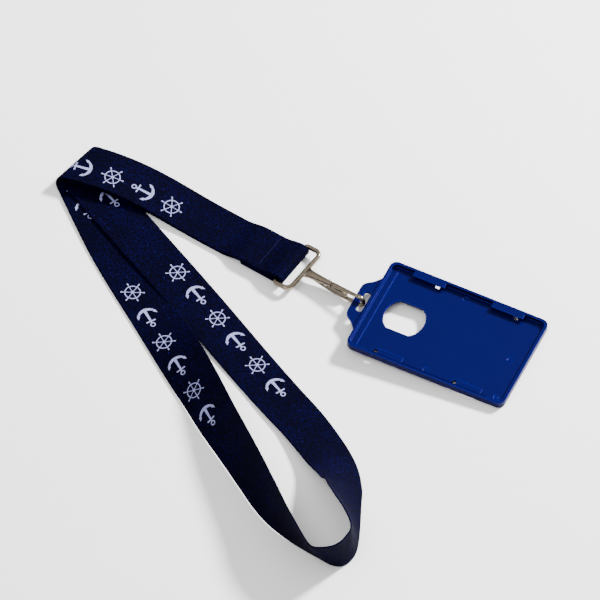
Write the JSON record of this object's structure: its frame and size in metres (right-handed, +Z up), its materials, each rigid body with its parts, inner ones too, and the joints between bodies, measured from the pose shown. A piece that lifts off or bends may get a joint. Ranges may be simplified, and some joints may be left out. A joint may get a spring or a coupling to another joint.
{
  "type": "lanyard",
  "caption": "Folded printed neck ribbon sewn round the eye of a sprung metal hook that holds a shallow plastic card tray.",
  "frame": {"origin": "bottom centre of the whole object's box, as it lies on a table with the ribbon folded", "axes": "+Z up off the table; +Y along the longest side of the box, away from the loop end of the neck ribbon; +X towards the card holder"},
  "size_m": [0.2554, 0.2734, 0.0252],
  "materials": {
    "ribbon_fabric": "very dark navy woven polyester with a pale repeated print, matte",
    "thread": "dark blue sewing thread, matte",
    "nickel": "nickel-plated casting, bright and slightly warm",
    "steel": "plain drawn steel",
    "holder_plastic": "glossy royal blue moulded plastic"
  },
  "bodies": {
    "ribbon": {"ribbon": "ribbon_fabric", "needle_thread": "thread", "bobbin_thread": "thread"},
    "hook": {"hook_body": "nickel", "gate_pin": "steel", "gate_spring": "steel"},
    "gate": {"gate": "nickel"},
    "holder": {"card_holder": "holder_plastic"}
  },
  "joints": [
    {"name": "hook_swing", "type": "hinge", "parent": "ribbon", "child": "hook", "pos_m": [-0.00541, 0.06143, 0.00384], "axis": [0.5779, 0.8161, 0], "range_deg": [-90, 0]},
    {"name": "gate_open", "type": "hinge", "parent": "hook", "child": "gate", "pos_m": [0.01379, 0.04783, 0.00569], "axis": [0.5779, 0.8161, 0], "range_deg": [0, 3], "stiffness_Nm_per_rad": 0.02, "springref_deg": -20.05},
    {"name": "holder_swing", "type": "hinge", "parent": "hook", "child": "holder", "pos_m": [0.02961, 0.03664, 0.00524], "axis": [0.4195, 0.9078, 0], "range_deg": [-25, 10]}
  ]
}
